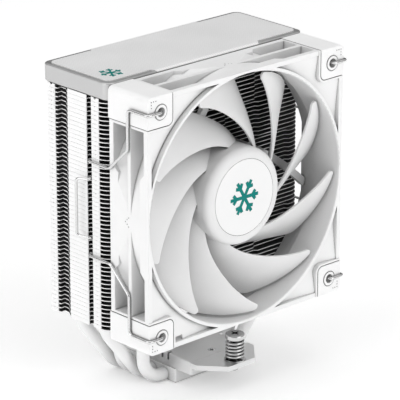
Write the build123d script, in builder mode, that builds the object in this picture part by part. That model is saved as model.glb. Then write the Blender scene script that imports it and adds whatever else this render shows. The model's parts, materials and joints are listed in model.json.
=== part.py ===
"""Single-tower processor cooler: four heat pipes, a 54-fin stack and a clipped-on 120 mm fan.

Frame: origin at the centre of the cold plate's contact face, +Z up the tower,
the fan's front faces -Y, +X is right when seen from the fan. Millimetres.
"""
from build123d import *
import os
from math import cos, hypot, radians, sin

os.makedirs("parts", exist_ok=True)

# ---- driving dimensions -------------------------------------------------
STACK_X = 120.0            # width of the fins and the cover
STACK_Y = 45.0             # depth of the fins and the cover
FIN_COUNT = 54
FIN_T = 0.4
FIN_BOTTOM = 37.4          # underside of the lowest fin
COVER_BOTTOM = 146.5       # underside of the top cover
TOTAL_H = 155.0
TAB_GAP = 0.12             # between a folded tab and the next fin
FIN_PITCH = (COVER_BOTTOM - 0.1 + TAB_GAP - FIN_BOTTOM) / FIN_COUNT

PIPE_R = 3.0
PIPE_Z = 2.9               # pipe axis above the contact face
PIPE_TOP = 149.2
PIPE_ROWS = (-12.0, -4.0, 4.0, 12.0)
INNER_LEG_X = 31.3         # each pipe has one leg here and its other leg further out
OUTER_LEG_X = 47.0

FAN = 120.0
FAN_Z = 94.0               # height of the fan's axis
FAN_FRONT = -48.0          # front face of the frame
FAN_BACK = -23.0
PAD_FRONT = -48.5          # the rubber corners stand half a millimetre proud
PAD_BACK = -22.5
HOLE_HALF = 52.5           # 105 mm square hole pattern
HOLE_R = 2.2
BORE_R = 58.5
LIP = 0.7                  # rounded front edge of the bore
SPOKE_COUNT = 4

BLADES = 9
TIP_R = 57.4
HUB_R = 22.9
HUB_FRONT = -46.0
HUB_BACK = -27.5
BLADE_T = 1.2

SCREW_Y = 40.3             # spring screws in front of and behind the base
PLATE_TOP = 13.4
PLATE_T = 2.3
WIRE_R = 0.65


def save(built, name):
    """Label a finished piece and write its STEP file."""
    piece = built.part if isinstance(built, BuildPart) else built
    piece.label = name
    export_step(piece, f"parts/{name}.step")


def facing_front(y, z=0.0):
    """A plane at depth y that looks at the front: local x is +X, local y is +Z."""
    return Plane(origin=(0, y, z), x_dir=(1, 0, 0), z_dir=(0, -1, 0))


# ---- base ---------------------------------------------------------------
BASE_X, BASE_Y = 36.0, 38.8
BASE_H = 7.0
BLOCK_X, BLOCK_Y = 35.0, 59.0
TONGUE_T = 1.4
TONGUE_L = 9.0
TONGUE_Z = 10.4
ARM_SCREW_Y = 24.8
SLOT_ROWS = (10.0, 14.0)   # short relief slots in the block's ends
SLOT_W, SLOT_H, SLOT_DEPTH = 1.5, 3.4, 2.5

with BuildPart() as pipe_tool:
    for row in PIPE_ROWS:
        with BuildSketch(Plane.YZ.offset(-BASE_X / 2)):
            with Locations((row, PIPE_Z)):
                Circle(PIPE_R)
    extrude(amount=BASE_X)

with BuildPart() as cold_plate:
    with BuildSketch():
        RectangleRounded(BASE_X, BASE_Y, 0.8)
    extrude(amount=BASE_H)
    chamfer(cold_plate.edges().group_by(Axis.Z)[0].filter_by(GeomType.LINE), length=0.3)
    add(pipe_tool.part, mode=Mode.SUBTRACT)
save(cold_plate, "cold_plate")

with BuildPart() as base_block:
    with BuildSketch(Plane.XY.offset(BASE_H)):
        RectangleRounded(BLOCK_X, BLOCK_Y, 1.0)
    extrude(amount=PLATE_TOP - BASE_H)
    for side in (-1, 1):
        with BuildSketch(Plane.XY.offset(TONGUE_Z)):
            with Locations((0, side * (BLOCK_Y - TONGUE_L) / 2)):
                Rectangle(22.0, TONGUE_L)
        extrude(amount=TONGUE_T, mode=Mode.SUBTRACT)
    with Locations((0, -ARM_SCREW_Y, PLATE_TOP), (0, ARM_SCREW_Y, PLATE_TOP)):
        CounterSinkHole(radius=1.0, counter_sink_radius=2.0, depth=PLATE_TOP - 8.0, counter_sink_angle=90)
    for side in (-1, 1):
        with BuildSketch(Plane.XY.offset(PLATE_TOP)):
            with Locations(*[(side * BLOCK_X / 2, turn * y) for y in SLOT_ROWS for turn in (-1, 1)]):
                Rectangle(2 * SLOT_DEPTH, SLOT_W)
        extrude(amount=-SLOT_H, mode=Mode.SUBTRACT)
    chamfer(base_block.edges().group_by(Axis.Z)[-1].filter_by(Axis.Y).group_by(Axis.X)[0], length=0.4)
    chamfer(base_block.edges().group_by(Axis.Z)[-1].filter_by(Axis.Y).group_by(Axis.X)[-1], length=0.4)
save(base_block, "base_block")

ARM_INNER = BLOCK_Y / 2
ARM_OUTER = 45.2
ARM_HALF_W = 18.2
ARM_TIP_W = 8.2
ARM_SLOPE_Y = 34.0


def mounting_arm(side):
    """One bracket arm: a chamfered plate in front of the block, and a tongue inside it."""
    with BuildPart() as arm:
        with BuildSketch(Plane.XY.offset(PLATE_TOP - PLATE_T)):
            with BuildLine():
                Polyline(
                    (-ARM_HALF_W, side * ARM_INNER),
                    (-ARM_HALF_W, side * ARM_SLOPE_Y),
                    (-ARM_TIP_W, side * ARM_OUTER),
                    (ARM_TIP_W, side * ARM_OUTER),
                    (ARM_HALF_W, side * ARM_SLOPE_Y),
                    (ARM_HALF_W, side * ARM_INNER),
                    close=True,
                )
            make_face()
        extrude(amount=PLATE_T)
        fillet(arm.edges().filter_by(Axis.Z), radius=0.8)
        with BuildSketch(Plane.XY.offset(TONGUE_Z)):
            with Locations((0, side * (ARM_INNER - TONGUE_L / 2 + 0.5))):
                Rectangle(22.0, TONGUE_L + 1.0)
        extrude(amount=TONGUE_T)
        with Locations((0, side * ARM_SCREW_Y, PLATE_TOP)):
            Hole(radius=1.0)
        with Locations((0, side * SCREW_Y, PLATE_TOP)):
            Hole(radius=2.6)
    return arm


for side, name in ((-1, "mounting_arm_front"), (1, "mounting_arm_rear")):
    save(mounting_arm(side), name)

with BuildPart() as arm_screws:
    for side in (-1, 1):
        with BuildSketch(Plane.XY.offset(8.0)):
            with Locations((0, side * ARM_SCREW_Y)):
                Circle(1.0)
        extrude(amount=PLATE_TOP - 1.0 - 8.0)
        with Locations((0, side * ARM_SCREW_Y, PLATE_TOP - 0.53)):
            Cone(bottom_radius=1.0, top_radius=1.9, height=0.94)
        with Locations((0, side * ARM_SCREW_Y, PLATE_TOP)):
            Box(2.2, 0.5, 0.9, mode=Mode.SUBTRACT)
            Box(0.5, 2.2, 0.9, mode=Mode.SUBTRACT)
save(arm_screws, "arm_screws")

# ---- spring screws ------------------------------------------------------
WASHER_R, WASHER_T = 4.85, 0.6
SHANK_R = 2.2
SLEEVE_R = 2.55
STUD_R = 1.75
STUD_END = 8.2
SPRING_R = 3.85            # radius of the coil's centre line
SPRING_WIRE_R = 0.6
SPRING_TURNS = 5.2
SPRING_TOP = 23.9
CAP_T = 0.4
HEAD_R, HEAD_H = 4.6, 2.1
HEAD_ROUND = 0.8
RECESS_L, RECESS_W, RECESS_H = 4.4, 0.9, 1.3               # cross recess in the head
HEAD_BOTTOM = SPRING_TOP + CAP_T
CLIP_Z, CLIP_T = 10.3, 0.6 # retaining ring under the arm
GROOVE_R, GROOVE_START, GROOVE_END = 1.45, 10.2, 10.95     # the ring's groove in the screw


def spring_screw(y):
    """Screw: domed cross-recess head, plain shank through the arm, short stud below it."""
    with BuildPart() as screw:
        with BuildSketch(Plane.YZ) as profile:
            with BuildLine():
                Polyline(
                    (0, STUD_END),
                    (STUD_R - 0.4, STUD_END),
                    (STUD_R, STUD_END + 0.4),
                    (STUD_R, GROOVE_START),
                    (GROOVE_R, GROOVE_START),
                    (GROOVE_R, GROOVE_END),
                    (SHANK_R, GROOVE_END),
                    (SHANK_R, HEAD_BOTTOM),
                    (HEAD_R, HEAD_BOTTOM),
                    (HEAD_R, HEAD_BOTTOM + HEAD_H - HEAD_ROUND),
                )
                RadiusArc(
                    (HEAD_R, HEAD_BOTTOM + HEAD_H - HEAD_ROUND),
                    (HEAD_R - HEAD_ROUND, HEAD_BOTTOM + HEAD_H),
                    -HEAD_ROUND,
                )
                Polyline(
                    (HEAD_R - HEAD_ROUND, HEAD_BOTTOM + HEAD_H),
                    (0, HEAD_BOTTOM + HEAD_H),
                    (0, STUD_END),
                )
            make_face()
        revolve(axis=Axis.Z)
        with Locations((0, 0, HEAD_BOTTOM + HEAD_H)):
            Box(RECESS_L, RECESS_W, 2 * RECESS_H, mode=Mode.SUBTRACT)
            Box(RECESS_W, RECESS_L, 2 * RECESS_H, mode=Mode.SUBTRACT)
            Cylinder(radius=RECESS_L / 4, height=2 * RECESS_H + 0.4, mode=Mode.SUBTRACT)
    return Pos(0, y, 0) * screw.part


def spring_coil(y):
    """Compression spring: round wire on a helix between the washer and the cap."""
    bottom = PLATE_TOP + WASHER_T + SPRING_WIRE_R + 0.02
    height = SPRING_TOP - SPRING_WIRE_R - 0.02 - bottom
    with BuildPart() as coil:
        with BuildLine():
            path = Helix(pitch=height / SPRING_TURNS, height=height, radius=SPRING_R)
        with BuildSketch(Plane(origin=path @ 0, z_dir=path % 0)):
            Circle(SPRING_WIRE_R)
        sweep(is_frenet=True)
    return Pos(0, y, bottom) * coil.part


def ring(y, z, outer, inner, thick):
    """A flat ring on a spring screw's axis."""
    with BuildPart() as made:
        with BuildSketch(Plane.XY.offset(z)):
            with Locations((0, y)):
                Circle(outer)
                Circle(inner, mode=Mode.SUBTRACT)
        extrude(amount=thick)
    return made


for side, name in ((-1, "front"), (1, "rear")):
    y = side * SCREW_Y
    save(spring_screw(y), f"spring_screw_{name}")
    save(spring_coil(y), f"screw_spring_{name}")
    save(ring(y, PLATE_TOP, WASHER_R, SLEEVE_R, WASHER_T), f"screw_washer_{name}")
    save(ring(y, SPRING_TOP, HEAD_R - 0.3, SLEEVE_R, CAP_T), f"spring_cap_{name}")
    save(ring(y, CLIP_Z, 3.0, GROOVE_R, CLIP_T), f"retaining_ring_{name}")

# ---- heat pipes ---------------------------------------------------------
INNER_BEND, OUTER_BEND = 11.0, 12.0
OUTER_TURN_X = 26.5        # where an outer pipe leaves the base's level
OUTER_LEG_Z = 29.0         # where it turns upright


def outer_side(number):
    """The side, -1 or 1, on which a pipe's leg stands further out: the pipes alternate."""
    return 1 if number % 2 else -1


def heat_pipe(number, y):
    """One round pipe: flush through the base, both ends bent up into the fins."""
    side = outer_side(number)
    outer = [(OUTER_LEG_X, y, PIPE_TOP), (OUTER_LEG_X, y, OUTER_LEG_Z), (OUTER_TURN_X, y, PIPE_Z)]
    inner = [(-INNER_LEG_X, y, PIPE_Z), (-INNER_LEG_X, y, PIPE_TOP)]
    corners = [(side * x, y, z) for x, y, z in outer + inner]
    with BuildPart() as pipe:
        with BuildLine():
            path = FilletPolyline(*corners, radius=[OUTER_BEND, OUTER_BEND, INNER_BEND])
        with BuildSketch(Plane(origin=path @ 0, z_dir=path % 0)):
            Circle(PIPE_R)
        sweep(transition=Transition.RIGHT)
        for end in (corners[0], corners[-1]):
            with Locations(end):
                Sphere(PIPE_R)
        with Locations((0, y, -1.0)):
            Box(BASE_X + 20, 2 * PIPE_R, 2.0, mode=Mode.SUBTRACT)
    return pipe


for number, row in enumerate(PIPE_ROWS, 1):
    save(heat_pipe(number, row), f"heat_pipe_{number}")

# ---- fins ---------------------------------------------------------------
HALF_X, HALF_Y = STACK_X / 2, STACK_Y / 2
SIDE_BANDS = ((-16.0, -11.1), (-7.9, 4.8), (13.5, 18.4))   # folded tabs along each side
CORNER_START = 52.6                                        # where a fin's rounded corner meets its long edge
STEP_DEPTH = 1.4                                           # between the raised and set-back stretches
FINS_PER_BAND = 9                                          # fins that share one edge pattern
SET_BACK = {0: ((-50.2, -29.3), (-9.3, 9.3), (29.3, 50.2)), 1: ((-30.7, -10.7), (10.7, 30.7))}
SET_BACK_SLOPE = 0.75
SEAM_W = 0.5                                               # small gap at the middle of each narrow tab
NOTCH_W = 2.0


def long_edge(pattern):
    """The front edge from left to right: some stretches stand back from the rest."""
    points = [(-CORNER_START, -HALF_Y)]
    for start, end in SET_BACK[pattern]:
        points += [
            (start - SET_BACK_SLOPE, -HALF_Y),
            (start + SET_BACK_SLOPE, -HALF_Y + STEP_DEPTH),
            (end - SET_BACK_SLOPE, -HALF_Y + STEP_DEPTH),
            (end + SET_BACK_SLOPE, -HALF_Y),
        ]
    return points + [(CORNER_START, -HALF_Y)]


SIDE_EDGE = [                      # right side, front to rear: groove for the wire clip, then a wider vee
    (HALF_X, SIDE_BANDS[0][0]),
    (HALF_X, SIDE_BANDS[0][1]),
    (57.2, -10.9),
    (57.2, -9.2),
    (58.6, -8.0),
    (HALF_X, SIDE_BANDS[1][0]),
    (HALF_X, SIDE_BANDS[1][1]),
    (57.4, 9.0),
    (57.1, 12.2),
    (59.5, 12.1),
    (HALF_X, SIDE_BANDS[2][0]),
    (HALF_X, -SIDE_BANDS[0][0]),
]
CORNER_MID = (57.8, -20.1)


def mirrored(points, x=1, y=1):
    """Points reflected across one or both axes."""
    return [(x * px, y * py) for px, py in points]


def fin_corner(x, y):
    """The arc round one corner of a fin."""
    ends = mirrored([(CORNER_START, -HALF_Y), CORNER_MID, SIDE_EDGE[0]], x, y)
    ThreePointArc(*ends)


def fin(z, pattern, notch):
    """A fin: flat plate with pipe holes, and side tabs folded up to the next fin."""
    with BuildPart() as plate:
        with BuildSketch(Plane.XY.offset(z)):
            with BuildLine():
                Polyline(*long_edge(pattern))
                Polyline(*mirrored(long_edge(pattern), y=-1))
                Polyline(*SIDE_EDGE)
                Polyline(*mirrored(SIDE_EDGE, x=-1))
                for x in (-1, 1):
                    for y in (-1, 1):
                        fin_corner(x, y)
            make_face()
            for number, row in enumerate(PIPE_ROWS, 1):
                side = outer_side(number)
                with Locations((side * OUTER_LEG_X, row), (-side * INNER_LEG_X, row)):
                    Circle(PIPE_R, mode=Mode.SUBTRACT)
        extrude(amount=FIN_T)
        for band, (start, end) in enumerate(SIDE_BANDS):
            middle, height = (start + end) / 2, FIN_PITCH - TAB_GAP
            for side in (-1, 1):
                with BuildSketch(Plane.YZ.offset(side * HALF_X - (FIN_T if side > 0 else 0))):
                    with Locations((middle, z + height / 2)):
                        Rectangle(end - start, height)
                    if band != 1:
                        with Locations((middle, z + height)):
                            if notch:
                                Triangle(a=NOTCH_W, B=45, C=45, rotation=180, mode=Mode.SUBTRACT,
                                         align=(Align.CENTER, Align.MIN))
                            else:
                                Rectangle(SEAM_W, SEAM_W, mode=Mode.SUBTRACT)
                extrude(amount=FIN_T)
    return plate.part


plain_fins = [fin(FIN_BOTTOM, pattern, notch=False) for pattern in (0, 1)]
fin_solids = []
for index in range(FIN_COUNT - 1):
    pattern = (FIN_COUNT - 1 - index) // FINS_PER_BAND % 2
    fin_solids.append(Pos(0, 0, index * FIN_PITCH) * plain_fins[pattern])
fin_solids.append(fin(FIN_BOTTOM + (FIN_COUNT - 1) * FIN_PITCH, 0, notch=True))
save(Compound(children=fin_solids), "fins")

# ---- top cover ----------------------------------------------------------
SHELL_TOP = 154.6
SHELL_WALL = 1.2
CORNER_R = 4.0
SHELL_ROUND = 0.6
GAP_H, GAP_DEPTH = 0.45, 0.5                               # rebate round the shell's lower edge
PANEL_T = 1.0
PANEL_ROUND = 3.0
PANEL_X, PANEL_Y = 115.6, 39.6
PANEL_TAB = 31.0           # half length of the tabs over the long edges
TAB_SLANT = 2.5
TAB_SLOPE_H, TAB_SLOPE_W = 0.7, 1.1


def panel_sketch(grow=0.0):
    """Panel outline: rounded rectangle with a slant-ended tab over each long edge."""
    with BuildSketch() as outline:
        RectangleRounded(PANEL_X + 2 * grow, PANEL_Y + 2 * grow, PANEL_ROUND)
        with BuildLine():
            reach = HALF_Y
            inner = PANEL_Y / 2 - 1.0
            half = PANEL_TAB + grow
            Polyline(
                (-half - TAB_SLANT, -inner), (-half, -reach), (half, -reach), (half + TAB_SLANT, -inner),
                (half + TAB_SLANT, inner), (half, reach), (-half, reach), (-half - TAB_SLANT, inner),
                close=True,
            )
        make_face()
    return outline.sketch


with BuildPart() as cover_shell:
    with BuildSketch(Plane.XY.offset(COVER_BOTTOM)):
        RectangleRounded(STACK_X, STACK_Y, CORNER_R)
    extrude(amount=SHELL_TOP - COVER_BOTTOM)
    fillet(cover_shell.edges().group_by(Axis.Z)[-1], radius=SHELL_ROUND)
    with BuildSketch(Plane.XY.offset(COVER_BOTTOM)):
        RectangleRounded(STACK_X - 2 * SHELL_WALL, STACK_Y - 2 * SHELL_WALL, CORNER_R - SHELL_WALL)
    extrude(amount=SHELL_TOP - SHELL_ROUND - SHELL_WALL - COVER_BOTTOM, mode=Mode.SUBTRACT)
    with BuildSketch(Plane.XY.offset(TOTAL_H - PANEL_T)):
        add(panel_sketch())
    extrude(amount=PANEL_T, mode=Mode.SUBTRACT)
    with BuildSketch(Plane.XY.offset(COVER_BOTTOM)):
        Rectangle(STACK_X + 1.0, STACK_Y + 1.0)
        RectangleRounded(STACK_X - 2 * GAP_DEPTH, STACK_Y - 2 * GAP_DEPTH, CORNER_R - GAP_DEPTH,
                         mode=Mode.SUBTRACT)
    extrude(amount=GAP_H, mode=Mode.SUBTRACT)
save(cover_shell, "cover_shell")

with BuildPart() as cover_panel:
    with BuildSketch(Plane.XY.offset(TOTAL_H - PANEL_T)):
        add(panel_sketch())
    extrude(amount=PANEL_T)
    tab_edges = cover_panel.edges().group_by(Axis.Z)[-1].filter_by(Axis.X).filter_by(
        lambda e: abs(e.center().Y) > HALF_Y - 0.1)
    chamfer(tab_edges, length=TAB_SLOPE_H, length2=TAB_SLOPE_W)
save(cover_panel, "cover_panel")


def snowflake(size, bar):
    """A plain six-armed snow crystal, as a sketch about the origin."""
    with BuildSketch() as flake:
        with PolarLocations(0, 6):
            with Locations((size / 4, 0)):
                Rectangle(size / 2, bar)
            for turn in (-1, 1):
                with Locations(Location((size * 0.34, turn * size * 0.06, 0), (0, 0, turn * 50))):
                    Rectangle(size * 0.17, bar)
    return flake.sketch


EMBLEM_T = 0.12
with BuildPart() as cover_emblem:
    with BuildSketch(Plane.XY.offset(TOTAL_H)):
        with Locations((-48.6, -11.6)):
            add(snowflake(11.0, 0.9))
    extrude(amount=EMBLEM_T)
save(cover_emblem, "cover_emblem")

# ---- fan frame ----------------------------------------------------------
SIDE = FAN / 2 - 0.2       # outer faces of the frame between the rubber corners
POST = FAN / 2 - 1.0       # the corner posts under the rubber
PAD_INNER = 45.5
PAD_ROUND = 2.6
PAD_SEAM = 0.4             # gap between a rubber corner and the frame
BEAD_W, BEAD_H = 0.9, 0.3  # raised bead on the frame round each rubber corner
RING_R = 60.2              # outer radius of the lip round the bore
WINDOW_HALF = 44.0         # half length of the openings in each side
RIB_FRONT, RIB_BACK = -36.8, -34.8
FLANGE_T = 2.6
THICK_HALF, THICK_EXTRA = 21.5, 2.8
SHROUD_R = 59.9
FLARE_R = 64.0
REAR_R = 61.2
REAR_FLAT = 58.8
POCKET_WALL = 57.6         # inner face of the rim round the front
POCKET_DEPTH = 2.9         # of the conical floor beside the lip; it rises to nothing at POCKET_END
POCKET_END = hypot(SIDE, PAD_INNER)
FLOOR_T = 1.2
NOTCH_X, NOTCH_DROP = -41.1, 56.5                          # small notch beside the lower left corner
NOTCH_L, NOTCH_H, NOTCH_DEPTH = 5.2, 2.2, 3.4
MARK_TIP, MARK_STEP, MARK_R, MARK_DEPTH = -33.1, 1.05, 0.3, 0.35   # arrow of five small pits on each side

CORNERS = ((-1, -1), (-1, 1), (1, -1), (1, 1))


def pad_outlines(grow, corners=CORNERS):
    """Squares over the fan's corners, reaching beyond it, with a rounded inner corner."""
    with BuildSketch(mode=Mode.PRIVATE) as squares:
        with Locations(*[(x * FAN / 2, z * FAN / 2) for x, z in corners]):
            size = FAN - 2 * PAD_INNER + 2 * grow
            RectangleRounded(size, size, PAD_ROUND + grow)
    return squares.sketch


with BuildPart() as corner_posts:
    with BuildSketch(facing_front(FAN_BACK - 0.4, FAN_Z)):
        RectangleRounded(2 * POST, 2 * POST, 2.0)
    extrude(amount=FAN_BACK - FAN_FRONT - 1.2)

with BuildPart() as shroud_outside:
    with BuildSketch(facing_front(RIB_BACK, FAN_Z)):
        Circle(SHROUD_R)
    extrude(amount=RIB_BACK - FAN_FRONT)
    with BuildSketch(facing_front(RIB_BACK, FAN_Z)):
        Circle(SHROUD_R)
    with BuildSketch(facing_front(FAN_BACK, FAN_Z)):
        Circle(FLARE_R)
    loft()


def side_window(front, back, step_front):
    """Cutter for one opening in the +X side; its flange edge is thicker at mid length."""
    thin, thick, end = front, back, WINDOW_HALF
    near, far = THICK_HALF, THICK_HALF + THICK_EXTRA
    if step_front:
        inner = [(thick, end), (thick, -end), (thin, -end), (thin, -far),
                 (thin + THICK_EXTRA, -near), (thin + THICK_EXTRA, near), (thin, far), (thin, end)]
    else:
        inner = [(thin, end), (thin, -end), (thick, -end), (thick, -far),
                 (thick - THICK_EXTRA, -near), (thick - THICK_EXTRA, near), (thick, far), (thick, end)]
    with BuildPart() as cutter:
        with BuildSketch(Plane.YZ.offset(FAN / 2 - 24.0)):
            with BuildLine():
                Polyline(*[(y, FAN_Z + z) for y, z in inner], close=True)
            make_face()
        extrude(amount=24.0)
        add(shroud_outside.part, mode=Mode.SUBTRACT)
    return cutter.part


def conical_floor(extra):
    """Ring-shaped solid in front of the cone that is the floor of the corner pockets."""
    with BuildPart() as cone:
        with BuildSketch(Plane.YZ):
            with BuildLine():
                Polyline(
                    (FAN_FRONT - 1.0, FAN_Z + RING_R),
                    (FAN_FRONT + POCKET_DEPTH + extra, FAN_Z + RING_R),
                    (FAN_FRONT + extra, FAN_Z + POCKET_END),
                    (FAN_FRONT - 1.0, FAN_Z + POCKET_END),
                    close=True,
                )
            make_face()
        revolve(axis=Axis((0, 0, FAN_Z), (0, 1, 0)))
        with BuildSketch(facing_front(FAN_BACK, FAN_Z)):
            Rectangle(2 * POCKET_WALL, 2 * POCKET_WALL)
            if not extra:
                add(pad_outlines(PAD_SEAM + BEAD_W), mode=Mode.SUBTRACT)
        extrude(amount=FAN_BACK - FAN_FRONT + 1.0, mode=Mode.INTERSECT)
    return cone.part


def about_fan(piece, angle):
    """Turn a piece about the fan's axis."""
    return piece.rotate(Axis((0, 0, FAN_Z), (0, -1, 0)), angle)


with BuildPart() as front_window:
    add(side_window(FAN_FRONT + FLANGE_T, RIB_FRONT, step_front=True))
    add(conical_floor(FLOOR_T), mode=Mode.SUBTRACT)
rear_window = side_window(RIB_BACK, FAN_BACK - FLANGE_T, step_front=False)

with BuildPart() as side_mark:
    with BuildSketch(Plane.YZ.offset(SIDE - MARK_DEPTH)):
        for step in range(-2, 3):
            with Locations((MARK_TIP - abs(step) * MARK_STEP, FAN_Z + step * MARK_STEP)):
                Circle(MARK_R)
    extrude(amount=2 * MARK_DEPTH)

SPOKE_START, SPOKE_MID, SPOKE_END = (11.8, 18.6), (34.5, 6.8), (58.6, -12.4)
SPOKE_W, SPOKE_T = 3.4, 2.6
MOTOR_R = 21.5
MOTOR_T = 1.6
TUBE_R, TUBE_BORE, TUBE_L = 3.8, 2.6, 13.0                 # bearing tube in the middle
BACK_LABEL_R = 8.0
BACK_LABEL_SINK = 0.9

with BuildPart() as spoke:
    with BuildSketch(facing_front(FAN_BACK, FAN_Z)):
        with BuildLine():
            arc = ThreePointArc(SPOKE_START, SPOKE_MID, SPOKE_END)
        with BuildLine(mode=Mode.PRIVATE) as centre:
            add(arc)
        trace(lines=centre.line.edges(), line_width=SPOKE_W)
    extrude(amount=SPOKE_T)

with BuildPart() as fan_frame:
    with BuildSketch(facing_front(FAN_BACK, FAN_Z)):
        Rectangle(2 * SIDE, 2 * SIDE)
        add(pad_outlines(PAD_SEAM), mode=Mode.SUBTRACT)
    extrude(amount=FAN_BACK - FAN_FRONT)
    add(corner_posts.part)
    for quarter in range(4):
        for cutter in (front_window.part, rear_window, side_mark.part):
            add(about_fan(cutter, 90 * quarter), mode=Mode.SUBTRACT)
    with BuildSketch(Plane.YZ):
        with BuildLine():
            RadiusArc((FAN_FRONT, FAN_Z + BORE_R + LIP), (FAN_FRONT + LIP, FAN_Z + BORE_R), -LIP)
            Polyline(
                (FAN_FRONT + LIP, FAN_Z + BORE_R),
                (FAN_BACK + LIP, FAN_Z + BORE_R),
                (FAN_BACK + LIP, FAN_Z),
                (FAN_FRONT - LIP, FAN_Z),
                (FAN_FRONT - LIP, FAN_Z + BORE_R + LIP),
                (FAN_FRONT, FAN_Z + BORE_R + LIP),
            )
        make_face()
    revolve(axis=Axis((0, 0, FAN_Z), (0, 1, 0)), mode=Mode.SUBTRACT)
    with BuildSketch(facing_front(RIB_BACK + 2.0, FAN_Z)):
        Circle(BORE_R)
    with BuildSketch(facing_front(FAN_BACK, FAN_Z)):
        Circle(REAR_R)
        Rectangle(2 * REAR_FLAT, 2 * REAR_FLAT, mode=Mode.INTERSECT)
    loft(mode=Mode.SUBTRACT)
    with BuildSketch(facing_front(FAN_FRONT, FAN_Z)):
        add(pad_outlines(PAD_SEAM + BEAD_W))
        add(pad_outlines(PAD_SEAM), mode=Mode.SUBTRACT)
        Rectangle(2 * SIDE, 2 * SIDE, mode=Mode.INTERSECT)
    extrude(amount=BEAD_H)
    add(conical_floor(0), mode=Mode.SUBTRACT)
    for quarter in range(SPOKE_COUNT):
        add(about_fan(spoke.part, 90 * quarter))
    with BuildSketch(facing_front(FAN_BACK, FAN_Z)):
        Circle(MOTOR_R)
    extrude(amount=MOTOR_T)
    with BuildSketch(facing_front(FAN_BACK - MOTOR_T, FAN_Z)):
        Circle(TUBE_R)
        Circle(TUBE_BORE, mode=Mode.SUBTRACT)
    extrude(amount=TUBE_L)
    with BuildSketch(facing_front(FAN_BACK, FAN_Z)):
        Circle(BACK_LABEL_R + 0.1)
    extrude(amount=BACK_LABEL_SINK, mode=Mode.SUBTRACT)
    with BuildSketch(facing_front(FAN_BACK, FAN_Z)):
        with GridLocations(2 * HOLE_HALF, 2 * HOLE_HALF, 2, 2):
            Circle(HOLE_R)
    extrude(amount=FAN_BACK - FAN_FRONT, mode=Mode.SUBTRACT)
    with Locations((NOTCH_X, FAN_FRONT, FAN_Z - NOTCH_DROP)):
        Box(NOTCH_L, 2 * NOTCH_DEPTH, NOTCH_H, mode=Mode.SUBTRACT)
save(fan_frame, "fan_frame")


PAD_EDGE_ROUND = 0.35
RIM_R, RIM_H = 3.3, 0.25                                   # raised rim round the screw hole
RIM_GROOVE_R, RIM_GROOVE_DEPTH = 3.8, 0.35
DOT_AT, DOT_STEP, DOT_R, DOT_DEPTH = 58.0, 1.35, 0.3, 0.35 # rows of small pits at the outer corner
DOT_ROWS = ((0, 0), (1, 0), (2, 0), (0, 1), (0, 2))


def corner_pad(sx, sz):
    """Rubber cap over one corner of the frame, with a raised rim round the screw hole."""
    with BuildPart() as pad:
        with BuildSketch(facing_front(PAD_BACK, FAN_Z)):
            add(pad_outlines(0, [(sx, sz)]))
            RectangleRounded(FAN, FAN, PAD_ROUND, mode=Mode.INTERSECT)
        extrude(amount=PAD_BACK - PAD_FRONT)
        fillet(pad.faces().sort_by(Axis.Y)[0].edges(), radius=PAD_EDGE_ROUND)
        with BuildSketch(facing_front(PAD_FRONT, FAN_Z)):
            with Locations((sx * HOLE_HALF, sz * HOLE_HALF)):
                Circle(RIM_GROOVE_R)
                Circle(RIM_R, mode=Mode.SUBTRACT)
        extrude(amount=-RIM_GROOVE_DEPTH, mode=Mode.SUBTRACT)
        with BuildSketch(facing_front(PAD_FRONT, FAN_Z)):
            with Locations((sx * HOLE_HALF, sz * HOLE_HALF)):
                Circle(RIM_R)
        extrude(amount=RIM_H)
        with BuildSketch(facing_front(PAD_FRONT, FAN_Z)):
            for along_x, along_z in DOT_ROWS:
                with Locations((sx * (DOT_AT - along_x * DOT_STEP), sz * (DOT_AT - along_z * DOT_STEP))):
                    Circle(DOT_R)
        extrude(amount=-DOT_DEPTH, mode=Mode.SUBTRACT)
        add(corner_posts.part, mode=Mode.SUBTRACT)
        with BuildSketch(facing_front(PAD_BACK, FAN_Z)):
            Circle(REAR_R + 0.4)
            with Locations((sx * HOLE_HALF, sz * HOLE_HALF)):
                Circle(HOLE_R)
        extrude(amount=PAD_BACK - PAD_FRONT + RIM_H + 0.1, mode=Mode.SUBTRACT)
    return pad


for (sx, sz), name in zip(CORNERS, ("lower_left", "upper_left", "lower_right", "upper_right")):
    save(corner_pad(sx, sz), f"corner_pad_{name}")

# ---- fan motor ----------------------------------------------------------
SHAFT_R = 1.5
CUP_WALL = 1.5
YOKE_R, YOKE_T = HUB_R - CUP_WALL, 0.9
MAGNET_T = 1.8
CORE_R = YOKE_R - YOKE_T - MAGNET_T - 0.6


def fan_ring(front, back, outer, inner):
    """A ring about the fan's axis."""
    with BuildPart() as made:
        with BuildSketch(facing_front(back, FAN_Z)):
            Circle(outer)
            if inner:
                Circle(inner, mode=Mode.SUBTRACT)
        extrude(amount=back - front)
    return made


save(fan_ring(-44.2, -27.8, YOKE_R, YOKE_R - YOKE_T), "motor_yoke")
save(fan_ring(-41.5, -28.5, YOKE_R - YOKE_T, YOKE_R - YOKE_T - MAGNET_T), "magnet_ring")
save(fan_ring(-37.4, FAN_BACK - MOTOR_T, TUBE_BORE, SHAFT_R + 0.05), "sleeve_bearing")

with BuildPart() as stator_core:
    with BuildSketch(facing_front(-30.5, FAN_Z)):
        Circle(CORE_R)
        Circle(CORE_R - 2.0, mode=Mode.SUBTRACT)
        with PolarLocations(0, 4):
            with Locations((CORE_R / 2 - 0.5, 0)):
                Rectangle(CORE_R - 1.0, 4.0)
        Circle(7.0)
        Circle(TUBE_R, mode=Mode.SUBTRACT)
    extrude(amount=6.0)
save(stator_core, "stator_core")

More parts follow.
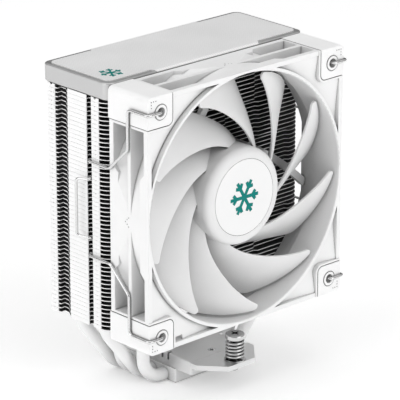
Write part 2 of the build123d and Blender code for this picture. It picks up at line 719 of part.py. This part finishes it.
with BuildPart() as stator_coils:
    for quarter in range(4):
        with BuildSketch(Plane.YZ.offset(8.0)):
            with Locations((-33.5, FAN_Z)):
                Rectangle(9.4, 7.4)
                Rectangle(6.1, 4.1, mode=Mode.SUBTRACT)
        one = extrude(amount=5.0, mode=Mode.PRIVATE)
        add(about_fan(one, 90 * quarter))
save(stator_coils, "stator_coils")

save(fan_ring(-26.6, -25.4, 19.0, TUBE_R + 0.2), "fan_circuit_board")

with BuildPart() as fan_shaft:
    with BuildSketch(facing_front(FAN_BACK - 1.6, FAN_Z)):
        Circle(SHAFT_R)
    extrude(amount=19.6)
save(fan_shaft, "fan_shaft")
save(fan_ring(FAN_BACK - BACK_LABEL_SINK, FAN_BACK - 0.1, BACK_LABEL_R, None), "motor_back_label")

# ---- rotor --------------------------------------------------------------
HUB_ROUND = 3.4
LABEL_R = 17.8
CHORD_LEAST, CHORD_GROWTH, CHORD_MID = 31.8, 21.0, 0.55    # angle that a blade covers, in degrees
TRAIL_Y = -29.0
ROOT_R = 22.2
LEAD_CORNER_R, TRAIL_CORNER_R = 1.8, 4.5
LABEL_GAP, LABEL_SINK = 0.25, 0.3       # the label lies in a shallow recess


def leading_edge(radius):
    """Angle and depth of a blade's leading edge at this radius: swept forward to the tip."""
    t = (TIP_R - radius) / (TIP_R - HUB_R)
    angle = 2.6 - 46.5 * t + 24.4 * t ** 2 - 40.6 * t ** 3
    depth = FAN_FRONT - 0.5 + 2.2 + 9.6 * t - 2.2 * t ** 2
    return angle, depth


def blade_point(radius, along):
    """A point of the blade's middle surface; along runs from leading edge 0 to trailing edge 1."""
    t = (TIP_R - radius) / (TIP_R - HUB_R)
    angle, depth = leading_edge(radius)
    turned = radians(angle - (CHORD_LEAST + CHORD_GROWTH * (t - CHORD_MID) ** 2) * along)
    y = depth + (TRAIL_Y - depth) * (0.6 * along + 0.4 * along ** 2)
    return Vector(radius * cos(turned), y, FAN_Z + radius * sin(turned))


BLADE_ROWS, BLADE_COLUMNS = 9, 9
grid = [
    [blade_point(ROOT_R + (TIP_R - ROOT_R) * i / (BLADE_ROWS - 1), j / (BLADE_COLUMNS - 1))
     for j in range(BLADE_COLUMNS)]
    for i in range(BLADE_ROWS)
]
blade_surface = Face.make_surface_from_array_of_points(grid)
thick_blade = Solid.thicken(blade_surface, BLADE_T / 2).fuse(Solid.thicken(blade_surface, -BLADE_T / 2))


def seen_from_front(radius, along):
    """A blade point in the plane of the fan's face."""
    point = blade_point(radius, along)
    return (point.X, point.Z - FAN_Z)


OUTLINE_RADII = [ROOT_R + 0.3 + (TIP_R - 0.1 - ROOT_R - 0.3) * i / 6 for i in range(7)]
with BuildPart() as blade_outline:
    with BuildSketch(facing_front(HUB_BACK + 5.0, FAN_Z)) as outline:
        with BuildLine():
            lead = Spline(*[seen_from_front(radius, 0.0) for radius in OUTLINE_RADII])
            trail = Spline(*[seen_from_front(radius, 1.0) for radius in OUTLINE_RADII])
            ThreePointArc(lead @ 1, seen_from_front(TIP_R - 0.1, 0.5), trail @ 1)
            Line(lead @ 0, trail @ 0)
        make_face()
        tips = outline.vertices().filter_by(lambda v: hypot(v.X, v.Y) > TIP_R - 1.0)
        fillet(tips.sort_by(Axis.Y)[-1], radius=LEAD_CORNER_R)
        tips = outline.vertices().filter_by(lambda v: hypot(v.X, v.Y) > TIP_R - 1.0)
        fillet(tips.sort_by(Axis.Y)[0], radius=TRAIL_CORNER_R)
    extrude(amount=HUB_BACK + 5.0 - FAN_FRONT + 5.0)
blade = thick_blade.intersect(blade_outline.part).solids().sort_by(SortBy.VOLUME)[-1]

with BuildPart() as rotor:
    with BuildSketch(facing_front(HUB_BACK, FAN_Z)):
        Circle(HUB_R)
    extrude(amount=HUB_BACK - HUB_FRONT)
    fillet(rotor.faces().sort_by(Axis.Y)[0].edges(), radius=HUB_ROUND)
    for number in range(BLADES):
        add(about_fan(blade, 360 / BLADES * number))
    with BuildSketch(facing_front(HUB_BACK + 1.0, FAN_Z)):
        Circle(YOKE_R)
    extrude(amount=HUB_BACK + 1.0 + 44.2, mode=Mode.SUBTRACT)
    with BuildSketch(facing_front(HUB_FRONT, FAN_Z)):
        Circle(LABEL_R + LABEL_GAP)
    extrude(amount=-LABEL_SINK, mode=Mode.SUBTRACT)
    with BuildSketch(facing_front(-43.0, FAN_Z)):
        Circle(3.2)
        Circle(SHAFT_R, mode=Mode.SUBTRACT)
    extrude(amount=1.4)
save(rotor, "rotor")

save(fan_ring(HUB_FRONT, HUB_FRONT + LABEL_SINK, LABEL_R, None), "hub_label")

with BuildPart() as hub_emblem:
    with BuildSketch(facing_front(HUB_FRONT, FAN_Z)):
        add(snowflake(17.0, 1.6))
    extrude(amount=EMBLEM_T)
save(hub_emblem, "hub_emblem")

# ---- wire clips ---------------------------------------------------------
CLIP_FRONT = PAD_FRONT - WIRE_R - 0.45
CLIP_SIDE = FAN / 2 + WIRE_R + 0.25
WIRE_X, WIRE_Y = 58.0, -9.9                                # where the wire lies in the fins' groove


def wire_clip(side):
    """Bent spring wire: hooks in two fan holes, lies in the fins' groove, grip stands out."""
    upper = [
        (HOLE_HALF, CLIP_FRONT + 5.2, HOLE_HALF),
        (HOLE_HALF, CLIP_FRONT, HOLE_HALF),
        (CLIP_SIDE, CLIP_FRONT, HOLE_HALF),
        (CLIP_SIDE, -36.2, HOLE_HALF),
        (CLIP_SIDE, -36.2, 34.0),
        (CLIP_SIDE, -23.8, 22.4),
        (CLIP_SIDE, WIRE_Y, 22.4),
        (WIRE_X, WIRE_Y, 21.4),
        (WIRE_X, WIRE_Y, 14.8),
        (CLIP_SIDE, WIRE_Y, 13.8),
        (63.1, -4.0, 13.4),
    ]
    lower = [(x, y, -z) for x, y, z in reversed(upper)]
    points = [(side * x, y, FAN_Z + z) for x, y, z in upper + lower]
    radii = [1.8, 1.8, 2.2, 2.6, 2.6, 1.1, 1.1, 1.1, 1.1, 1.8]
    with BuildPart() as clip:
        with BuildLine():
            path = FilletPolyline(*points, radius=radii + list(reversed(radii)))
        with BuildSketch(Plane(origin=path @ 0, z_dir=path % 0)):
            Circle(WIRE_R)
        sweep()
    return clip


for side, name in ((-1, "wire_clip_left"), (1, "wire_clip_right")):
    save(wire_clip(side), name)
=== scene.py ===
import json
from math import radians

import bpy
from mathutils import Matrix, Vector


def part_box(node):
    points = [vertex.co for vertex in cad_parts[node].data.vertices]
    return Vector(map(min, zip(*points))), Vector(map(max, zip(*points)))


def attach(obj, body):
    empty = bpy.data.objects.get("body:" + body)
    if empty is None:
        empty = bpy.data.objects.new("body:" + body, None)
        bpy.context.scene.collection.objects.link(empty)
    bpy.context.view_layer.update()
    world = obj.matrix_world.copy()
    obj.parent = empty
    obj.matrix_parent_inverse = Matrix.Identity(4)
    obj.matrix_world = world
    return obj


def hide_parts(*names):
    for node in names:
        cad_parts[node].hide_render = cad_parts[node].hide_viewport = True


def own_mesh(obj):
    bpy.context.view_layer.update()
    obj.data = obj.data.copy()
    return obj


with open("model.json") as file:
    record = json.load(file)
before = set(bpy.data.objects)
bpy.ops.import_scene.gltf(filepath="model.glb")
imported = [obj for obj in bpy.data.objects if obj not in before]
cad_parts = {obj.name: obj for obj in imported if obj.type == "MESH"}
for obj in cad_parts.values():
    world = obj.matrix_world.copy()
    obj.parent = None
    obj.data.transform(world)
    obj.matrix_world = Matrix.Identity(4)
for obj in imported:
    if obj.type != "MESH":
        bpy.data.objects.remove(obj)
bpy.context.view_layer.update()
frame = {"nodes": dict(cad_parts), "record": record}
nodes = frame["nodes"]
scene = bpy.context.scene
MM = 0.001


# ---- camera, floor and light --------------------------------------------
CAMERA_AT = Vector((-850.9, -932.3, 537.2)) * MM
CAMERA_DOWN, CAMERA_YAW = 19.893, 42.905
CAMERA_LENS = 261.85
CLIP_NEAR, CLIP_FAR = 0.05, 20.0
SKY = ((0.0, 0.8), (0.075, 0.8), (0.11, 0.02), (0.3, 0.02), (0.6, 0.66))    # height of direction, brightness
FLOOR_HALF = 6.0
FLOOR_GLOW = 0.23
AIM = Vector((0, 0, 0.08))


def grey(value):
    return (value, value, value)


def add_camera():
    """The camera stands in front, to the left and above, far enough away to flatten perspective."""
    data = bpy.data.cameras.new("camera")
    data.lens = CAMERA_LENS
    data.sensor_width = 36.0
    data.clip_start = CLIP_NEAR
    data.clip_end = CLIP_FAR
    camera = bpy.data.objects.new("camera", data)
    camera.location = CAMERA_AT
    camera.rotation_euler = (radians(90 - CAMERA_DOWN), 0, radians(-CAMERA_YAW))
    scene.collection.objects.link(camera)
    scene.camera = camera


def add_area(name, at, size, power):
    """A square soft light at a point, turned to the middle of the object."""
    data = bpy.data.lights.new(name, "AREA")
    data.shape = "SQUARE"
    data.size = size
    data.energy = power
    light = bpy.data.objects.new(name, data)
    light.location = at
    light.rotation_euler = (AIM - Vector(at)).to_track_quat("-Z", "Y").to_euler()
    scene.collection.objects.link(light)


def add_world():
    """A pale horizon, dim above it so that polished metal has something dark to reflect, soft overhead."""
    world = bpy.data.worlds.new("studio")
    scene.world = world
    world.use_nodes = True
    tree = world.node_tree
    background = tree.nodes["Background"]
    coord = tree.nodes.new("ShaderNodeTexCoord")
    split = tree.nodes.new("ShaderNodeSeparateXYZ")
    ramp = tree.nodes.new("ShaderNodeValToRGB")
    stops = ramp.color_ramp.elements
    for _ in SKY[2:]:
        stops.new(0.5)
    for stop, (height, value) in zip(stops, SKY):
        stop.position = height
        stop.color = (*grey(value), 1)
    tree.links.new(coord.outputs["Generated"], split.inputs[0])
    tree.links.new(split.outputs["Z"], ramp.inputs["Fac"])
    tree.links.new(ramp.outputs["Color"], background.inputs["Color"])


def add_floor():
    """A wide pale floor under the contact face."""
    mesh = bpy.data.meshes.new("floor")
    half = FLOOR_HALF
    corners = [(-half, -half, 0), (half, -half, 0), (half, half, 0), (-half, half, 0)]
    mesh.from_pydata(corners, [], [(0, 1, 2, 3)])
    floor = bpy.data.objects.new("floor", mesh)
    scene.collection.objects.link(floor)
    material = bpy.data.materials.new("pale_floor")
    material.use_nodes = True
    shader = material.node_tree.nodes["Principled BSDF"]
    shader.inputs["Base Color"].default_value = (*grey(0.98), 1)
    shader.inputs["Roughness"].default_value = 0.9
    shader.inputs["Specular IOR Level"].default_value = 0.1
    shader.inputs["Emission Color"].default_value = (1, 1, 1, 1)
    shader.inputs["Emission Strength"].default_value = FLOOR_GLOW
    mesh.materials.append(material)


add_camera()
add_world()
add_floor()
scene.view_settings.view_transform = "Standard"
add_area("left", (-1.5, 0.3, 0.55), 1.3, 8.0)
add_area("front", (0.2, -1.6, 0.65), 1.3, 9.0)
add_area("top", (-0.2, 0.2, 3.0), 2.8, 19.0)


# ---- materials ----------------------------------------------------------
# Reaches and spans of the painted shade in narrow gaps and deep recesses, and of the painted highlight on
# outer edges.
CREVICE_REACH, RECESS_REACH, EDGE_REACH = 1.5, 16.0, 0.5      # millimetres
CREVICE_SPAN, RECESS_SPAN, EDGE_SPAN = (0.3, 0.8), (0.1, 0.75), (0.5, 0.85)
MOTTLE_SPAN = (0.3, 0.7)
MOTTLE_SCALE = 60.0
# The white of the painted highlight on outer edges.
EDGE_HIGHLIGHT_WHITE = 0.97
ROUGH_SPREAD = 0.05
FIN_FACE_SHADE, FIN_SKIN, FIN_TAB = 0.035, 0.2, 0.55      # painted shade: tone of the flat faces between fins; millimetres that stay white
DOT_PITCH, DOT_SHADE, DOT_RISE = 1.3, 0.86, 0.09    # millimetres between dots, tone between them, height
DOT_SPAN = (0.3, 0.55)
# BORE_SHADE is painted shade on the bore's wall, within BORE_WALL_R of the fan's axis.
FAN_AXIS_Z, BORE_WALL_R, BORE_SHADE = 0.094, 0.0615, 0.85


def material_nodes(name):
    """A new node material: its tree and its shader."""
    material = bpy.data.materials.new(name)
    material.use_nodes = True
    tree = material.node_tree
    return material, tree, tree.nodes["Principled BSDF"]


def object_noise(tree, scale, detail=3.0, rough=0.55):
    """Noise over the object's own coordinates."""
    coord = tree.nodes.new("ShaderNodeTexCoord")
    noise = tree.nodes.new("ShaderNodeTexNoise")
    noise.inputs["Scale"].default_value = scale
    noise.inputs["Detail"].default_value = detail
    noise.inputs["Roughness"].default_value = rough
    tree.links.new(coord.outputs["Object"], noise.inputs["Vector"])
    return noise


def mix_by(tree, factor, low, high):
    """A colour between two, chosen by a factor output."""
    ramp = tree.nodes.new("ShaderNodeValToRGB")
    ramp.color_ramp.elements[0].color = (*low, 1)
    ramp.color_ramp.elements[1].color = (*high, 1)
    ramp.color_ramp.elements[0].position, ramp.color_ramp.elements[1].position = MOTTLE_SPAN
    tree.links.new(factor, ramp.inputs["Fac"])
    return ramp.outputs["Color"]


def occlusion(tree, reach, inside=False):
    """How open the surface is within a distance, in millimetres."""
    node = tree.nodes.new("ShaderNodeAmbientOcclusion")
    node.samples = 8
    node.inside = inside
    node.inputs["Distance"].default_value = reach * MM
    return node.outputs["AO"]


def fade(tree, value, span, low, high):
    """Map a span of a value to another span."""
    node = tree.nodes.new("ShaderNodeMapRange")
    node.inputs["From Min"].default_value, node.inputs["From Max"].default_value = span
    node.inputs["To Min"].default_value = low
    node.inputs["To Max"].default_value = high
    tree.links.new(value, node.inputs["Value"])
    return node.outputs["Result"]


def scaled(tree, color, factor):
    """A colour times a number."""
    node = tree.nodes.new("ShaderNodeVectorMath")
    node.operation = "SCALE"
    tree.links.new(color, node.inputs[0])
    tree.links.new(factor, node.inputs["Scale"])
    return node.outputs["Vector"]


def painted_crevice_shade_and_edge_highlight(tree, color, crevice_shade, recess_shade, edge_highlight):
    """Painted shade: darken a colour in narrow gaps and deep recesses. Painted highlight: lighten it along
    outer edges.
    """
    color = scaled(tree, color, fade(tree, occlusion(tree, CREVICE_REACH), CREVICE_SPAN, crevice_shade, 1.0))
    color = scaled(tree, color, fade(tree, occlusion(tree, RECESS_REACH), RECESS_SPAN, recess_shade, 1.0))
    # Painted highlight: outer edges are mixed towards near-white.
    mix = tree.nodes.new("ShaderNodeMix")
    mix.data_type = "RGBA"
    edge = fade(tree, occlusion(tree, EDGE_REACH, inside=True), EDGE_SPAN, edge_highlight, 0.0)
    tree.links.new(edge, mix.inputs["Factor"])
    tree.links.new(color, mix.inputs["A"])
    mix.inputs["B"].default_value = (*grey(EDGE_HIGHLIGHT_WHITE), 1)
    return mix.outputs["Result"]


def surface(name, low, high, rough, grain, grain_depth, metallic=0.0, edge=0.0, specular=0.5,
            crevice_shade=0.35, recess_shade=0.6, edge_highlight=0.6, paint_shade_and_highlight=True):
    """Moulded, painted or metal surface: mottled colour and gloss, fine grain, painted highlight on outer
    edges, painted shade in gaps and recesses.
    """
    material, tree, shader = material_nodes(name)
    broad = object_noise(tree, MOTTLE_SCALE)
    fine = object_noise(tree, grain, 2.0)
    color = mix_by(tree, broad.outputs["Fac"], low, high)
    if paint_shade_and_highlight:
        color = painted_crevice_shade_and_edge_highlight(tree, color, crevice_shade, recess_shade, edge_highlight)
    tree.links.new(color, shader.inputs["Base Color"])
    gloss = fade(tree, broad.outputs["Fac"], MOTTLE_SPAN, rough - ROUGH_SPREAD, rough + ROUGH_SPREAD)
    tree.links.new(gloss, shader.inputs["Roughness"])
    shader.inputs["Metallic"].default_value = metallic
    shader.inputs["Specular IOR Level"].default_value = specular
    bump = tree.nodes.new("ShaderNodeBump")
    bump.inputs["Strength"].default_value = 0.6
    bump.inputs["Distance"].default_value = grain_depth * MM
    tree.links.new(fine.outputs["Fac"], bump.inputs["Height"])
    if edge:
        bevel = tree.nodes.new("ShaderNodeBevel")
        bevel.samples = 4
        bevel.inputs["Radius"].default_value = edge * MM
        tree.links.new(bevel.outputs["Normal"], bump.inputs["Normal"])
    tree.links.new(bump.outputs["Normal"], shader.inputs["Normal"])
    return material


def compare(tree, value, operation, limit):
    """1 where a value is on the asked side of a limit, else 0."""
    node = tree.nodes.new("ShaderNodeMath")
    node.operation = operation
    node.inputs[1].default_value = limit
    tree.links.new(value, node.inputs[0])
    return node.outputs[0]


def times(tree, first, second):
    """The product of two numbers."""
    node = tree.nodes.new("ShaderNodeMath")
    node.operation = "MULTIPLY"
    tree.links.new(first, node.inputs[0])
    tree.links.new(second, node.inputs[1])
    return node.outputs[0]


def fin_surface():
    """Painted fins: white on their edges and folded tabs, with painted shade making the flat faces between
    them near-black.
    """
    material = surface("fin_paint", grey(0.94), grey(0.97), 0.45, 2500, 0.006, paint_shade_and_highlight=False)
    tree = material.node_tree
    shader = tree.nodes["Principled BSDF"]
    paint_color = shader.inputs["Base Color"].links[0].from_socket
    geometry = tree.nodes.new("ShaderNodeNewGeometry")
    normal = tree.nodes.new("ShaderNodeSeparateXYZ")
    tree.links.new(geometry.outputs["True Normal"], normal.inputs[0])
    flat = tree.nodes.new("ShaderNodeMath")
    flat.operation = "ABSOLUTE"
    tree.links.new(normal.outputs["Z"], flat.inputs[0])
    coord = tree.nodes.new("ShaderNodeTexCoord")
    place = tree.nodes.new("ShaderNodeSeparateXYZ")
    tree.links.new(coord.outputs["Object"], place.inputs[0])
    low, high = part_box("fins")
    above = compare(tree, place.outputs["Z"], "GREATER_THAN", low[2] + FIN_SKIN * MM)
    across = tree.nodes.new("ShaderNodeMath")
    across.operation = "ABSOLUTE"
    tree.links.new(place.outputs["X"], across.inputs[0])
    behind = compare(tree, across.outputs[0], "LESS_THAN", high[0] - FIN_TAB * MM)
    # Painted shade: the flat faces between fins, away from the bottom skin and the outer tabs, get a
    # near-black colour.
    shaded_fin_faces = times(tree, times(tree, flat.outputs[0], above), behind)
    mix = tree.nodes.new("ShaderNodeMix")
    mix.data_type = "RGBA"
    tree.links.new(shaded_fin_faces, mix.inputs["Factor"])
    tree.links.new(paint_color, mix.inputs["A"])
    mix.inputs["B"].default_value = (*grey(FIN_FACE_SHADE), 1)
    tree.links.new(mix.outputs["Result"], shader.inputs["Base Color"])
    return material


def frame_plastic():
    """The fan frame's plastic, with painted shade darkening the wall of the bore."""
    material = surface("white_plastic", grey(0.90), grey(0.93), 0.5, 1800, 0.015, edge=0.3, recess_shade=0.7)
    tree = material.node_tree
    shader = tree.nodes["Principled BSDF"]
    geometry = tree.nodes.new("ShaderNodeNewGeometry")
    coord = tree.nodes.new("ShaderNodeTexCoord")
    from_axis = tree.nodes.new("ShaderNodeVectorMath")
    from_axis.operation = "SUBTRACT"
    from_axis.inputs[1].default_value = (0, 0, FAN_AXIS_Z)
    tree.links.new(coord.outputs["Object"], from_axis.inputs[0])
    flat = tree.nodes.new("ShaderNodeVectorMath")
    flat.operation = "MULTIPLY"
    flat.inputs[1].default_value = (1, 0, 1)
    tree.links.new(from_axis.outputs["Vector"], flat.inputs[0])
    radius = tree.nodes.new("ShaderNodeVectorMath")
    radius.operation = "LENGTH"
    tree.links.new(flat.outputs["Vector"], radius.inputs[0])
    outward = tree.nodes.new("ShaderNodeVectorMath")
    outward.operation = "DOT_PRODUCT"
    tree.links.new(flat.outputs["Vector"], outward.inputs[0])
    tree.links.new(geometry.outputs["True Normal"], outward.inputs[1])
    within = compare(tree, radius.outputs["Value"], "LESS_THAN", BORE_WALL_R)
    bore_shade_mask = times(tree, within, compare(tree, outward.outputs["Value"], "LESS_THAN", -0.5 * BORE_WALL_R))
    color = shader.inputs["Base Color"].links[0].from_socket
    shade = fade(tree, bore_shade_mask, (0.0, 1.0), 1.0, BORE_SHADE)
    tree.links.new(scaled(tree, color, shade), shader.inputs["Base Color"])
    return material


def dotted_panel():
    """Top panel: satin white with a fine pattern of raised dots."""
    material = surface("white_panel", grey(0.94), grey(0.97), 0.40, 2500, 0.006, edge=0.15,
                       crevice_shade=0.7, recess_shade=1.0)
    tree = material.node_tree
    bump = tree.nodes["Bump"]
    coord = tree.nodes.new("ShaderNodeTexCoord")
    dots = tree.nodes.new("ShaderNodeTexVoronoi")
    dots.inputs["Scale"].default_value = 1.0 / (DOT_PITCH * MM)
    dots.inputs["Randomness"].default_value = 0.0
    tree.links.new(coord.outputs["Object"], dots.inputs["Vector"])
    raised = tree.nodes.new("ShaderNodeBump")
    raised.inputs["Strength"].default_value = 0.7
    raised.inputs["Distance"].default_value = DOT_RISE * MM
    raised.invert = True
    tree.links.new(dots.outputs["Distance"], raised.inputs["Height"])
    tree.links.new(bump.outputs["Normal"], raised.inputs["Normal"])
    shader = tree.nodes["Principled BSDF"]
    tree.links.new(raised.outputs["Normal"], shader.inputs["Normal"])
    color = shader.inputs["Base Color"].links[0].from_socket
    between = fade(tree, dots.outputs["Distance"], DOT_SPAN, 1.0, DOT_SHADE)
    tree.links.new(scaled(tree, color, between), shader.inputs["Base Color"])
    return material


# The numbers passed to surface below set how much painted shade falls in gaps and recesses and how strong
# the painted highlight on outer edges is.
paint = surface("white_paint", grey(0.90), grey(0.93), 0.38, 2500, 0.010, edge=0.2)
base_paint = surface("base_metal", grey(0.75), grey(0.79), 0.34, 4000, 0.0006, metallic=0.85, edge=0.2,
                     crevice_shade=0.6, recess_shade=0.75)
fin_paint = fin_surface()
plastic = frame_plastic()
blade_plastic = surface("rotor_plastic", grey(0.81), grey(0.84), 0.42, 1800, 0.008, edge=0.2, edge_highlight=0.9)
rubber = surface("pad_rubber", grey(0.94), grey(0.97), 0.7, 1500, 0.025, edge=0.3)
silver = surface("silver_shell", grey(0.55), grey(0.57), 0.34, 3000, 0.002, metallic=0.8, edge=0.3,
                 recess_shade=1.0, edge_highlight=0.0)
panel_white = dotted_panel()
teal = surface("emblem_teal", (0.0, 0.21, 0.185), (0.0, 0.225, 0.20), 0.5, 3000, 0.004, specular=0.15,
               paint_shade_and_highlight=False)
label = surface("label_white", grey(0.80), grey(0.83), 0.45, 2500, 0.004)
grey_label = surface("grey_label", grey(0.50), grey(0.56), 0.5, 2500, 0.004)
chrome = surface("chrome_steel", grey(0.60), grey(0.66), 0.13, 1200, 0.001, metallic=1.0, edge=0.15,
                 edge_highlight=0.0, crevice_shade=0.08, recess_shade=0.2)
spring_steel = surface("spring_wire", grey(0.55), grey(0.61), 0.13, 1200, 0.001, metallic=1.0,
                       edge_highlight=0.0, crevice_shade=0.05, recess_shade=0.35)
clip_steel = surface("clip_wire", grey(0.68), grey(0.74), 0.22, 1200, 0.001, metallic=0.95,
                     edge_highlight=0.0, crevice_shade=0.2, recess_shade=1.0)
ferrite = surface("magnet_black", grey(0.02), grey(0.03), 0.6, 2000, 0.02, paint_shade_and_highlight=False)
core = surface("core_steel", grey(0.25), grey(0.32), 0.35, 2000, 0.01, metallic=0.9, edge_highlight=0.0)
copper = surface("coil_copper", (0.45, 0.16, 0.05), (0.55, 0.22, 0.08), 0.3, 2500, 0.02, metallic=0.9,
                 edge_highlight=0.0)
board = surface("board_green", (0.01, 0.06, 0.03), (0.02, 0.09, 0.04), 0.4, 2000, 0.01, edge_highlight=0.0)
bronze = surface("bearing_bronze", (0.35, 0.2, 0.07), (0.42, 0.25, 0.1), 0.4, 2500, 0.02, metallic=0.9,
                 edge_highlight=0.0)

SLOT_MATERIALS = {
    "white_paint": paint, "white_plastic": plastic, "rotor_plastic": blade_plastic, "pad_rubber": rubber,
    "silver_shell": silver, "white_panel": panel_white, "emblem_teal": teal, "label_white": label,
    "grey_label": grey_label, "chrome_steel": chrome, "spring_wire": spring_steel, "magnet_black": ferrite,
    "core_steel": core, "coil_copper": copper, "board_green": board, "bearing_bronze": bronze,
}


def dress(obj, material):
    """Give every slot of an object one material."""
    if not obj.material_slots:
        obj.data.materials.append(material)
    for slot in obj.material_slots:
        slot.material = material


for part in frame["record"]["subparts"]:
    dress(nodes[part["node"]], SLOT_MATERIALS[part["material_slot"]])
dress(nodes["fins"], fin_paint)
for name in ("base_block", "mounting_arm_front", "mounting_arm_rear"):
    dress(nodes[name], base_paint)
for name in ("wire_clip_left", "wire_clip_right"):
    dress(nodes[name], clip_steel)


def press_spring(side):
    """A screw's spring as its own piece, attached to the body of its spring seat."""
    node = f"screw_spring_{side}"
    coil = bpy.data.objects.new(f"coil_{side}", nodes[node].data.copy())
    scene.collection.objects.link(coil)
    dress(coil, spring_steel)
    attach(coil, f"spring_seat_{side}")
    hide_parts(node)
    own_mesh(coil)


for side in ("front", "rear"):
    press_spring(side)
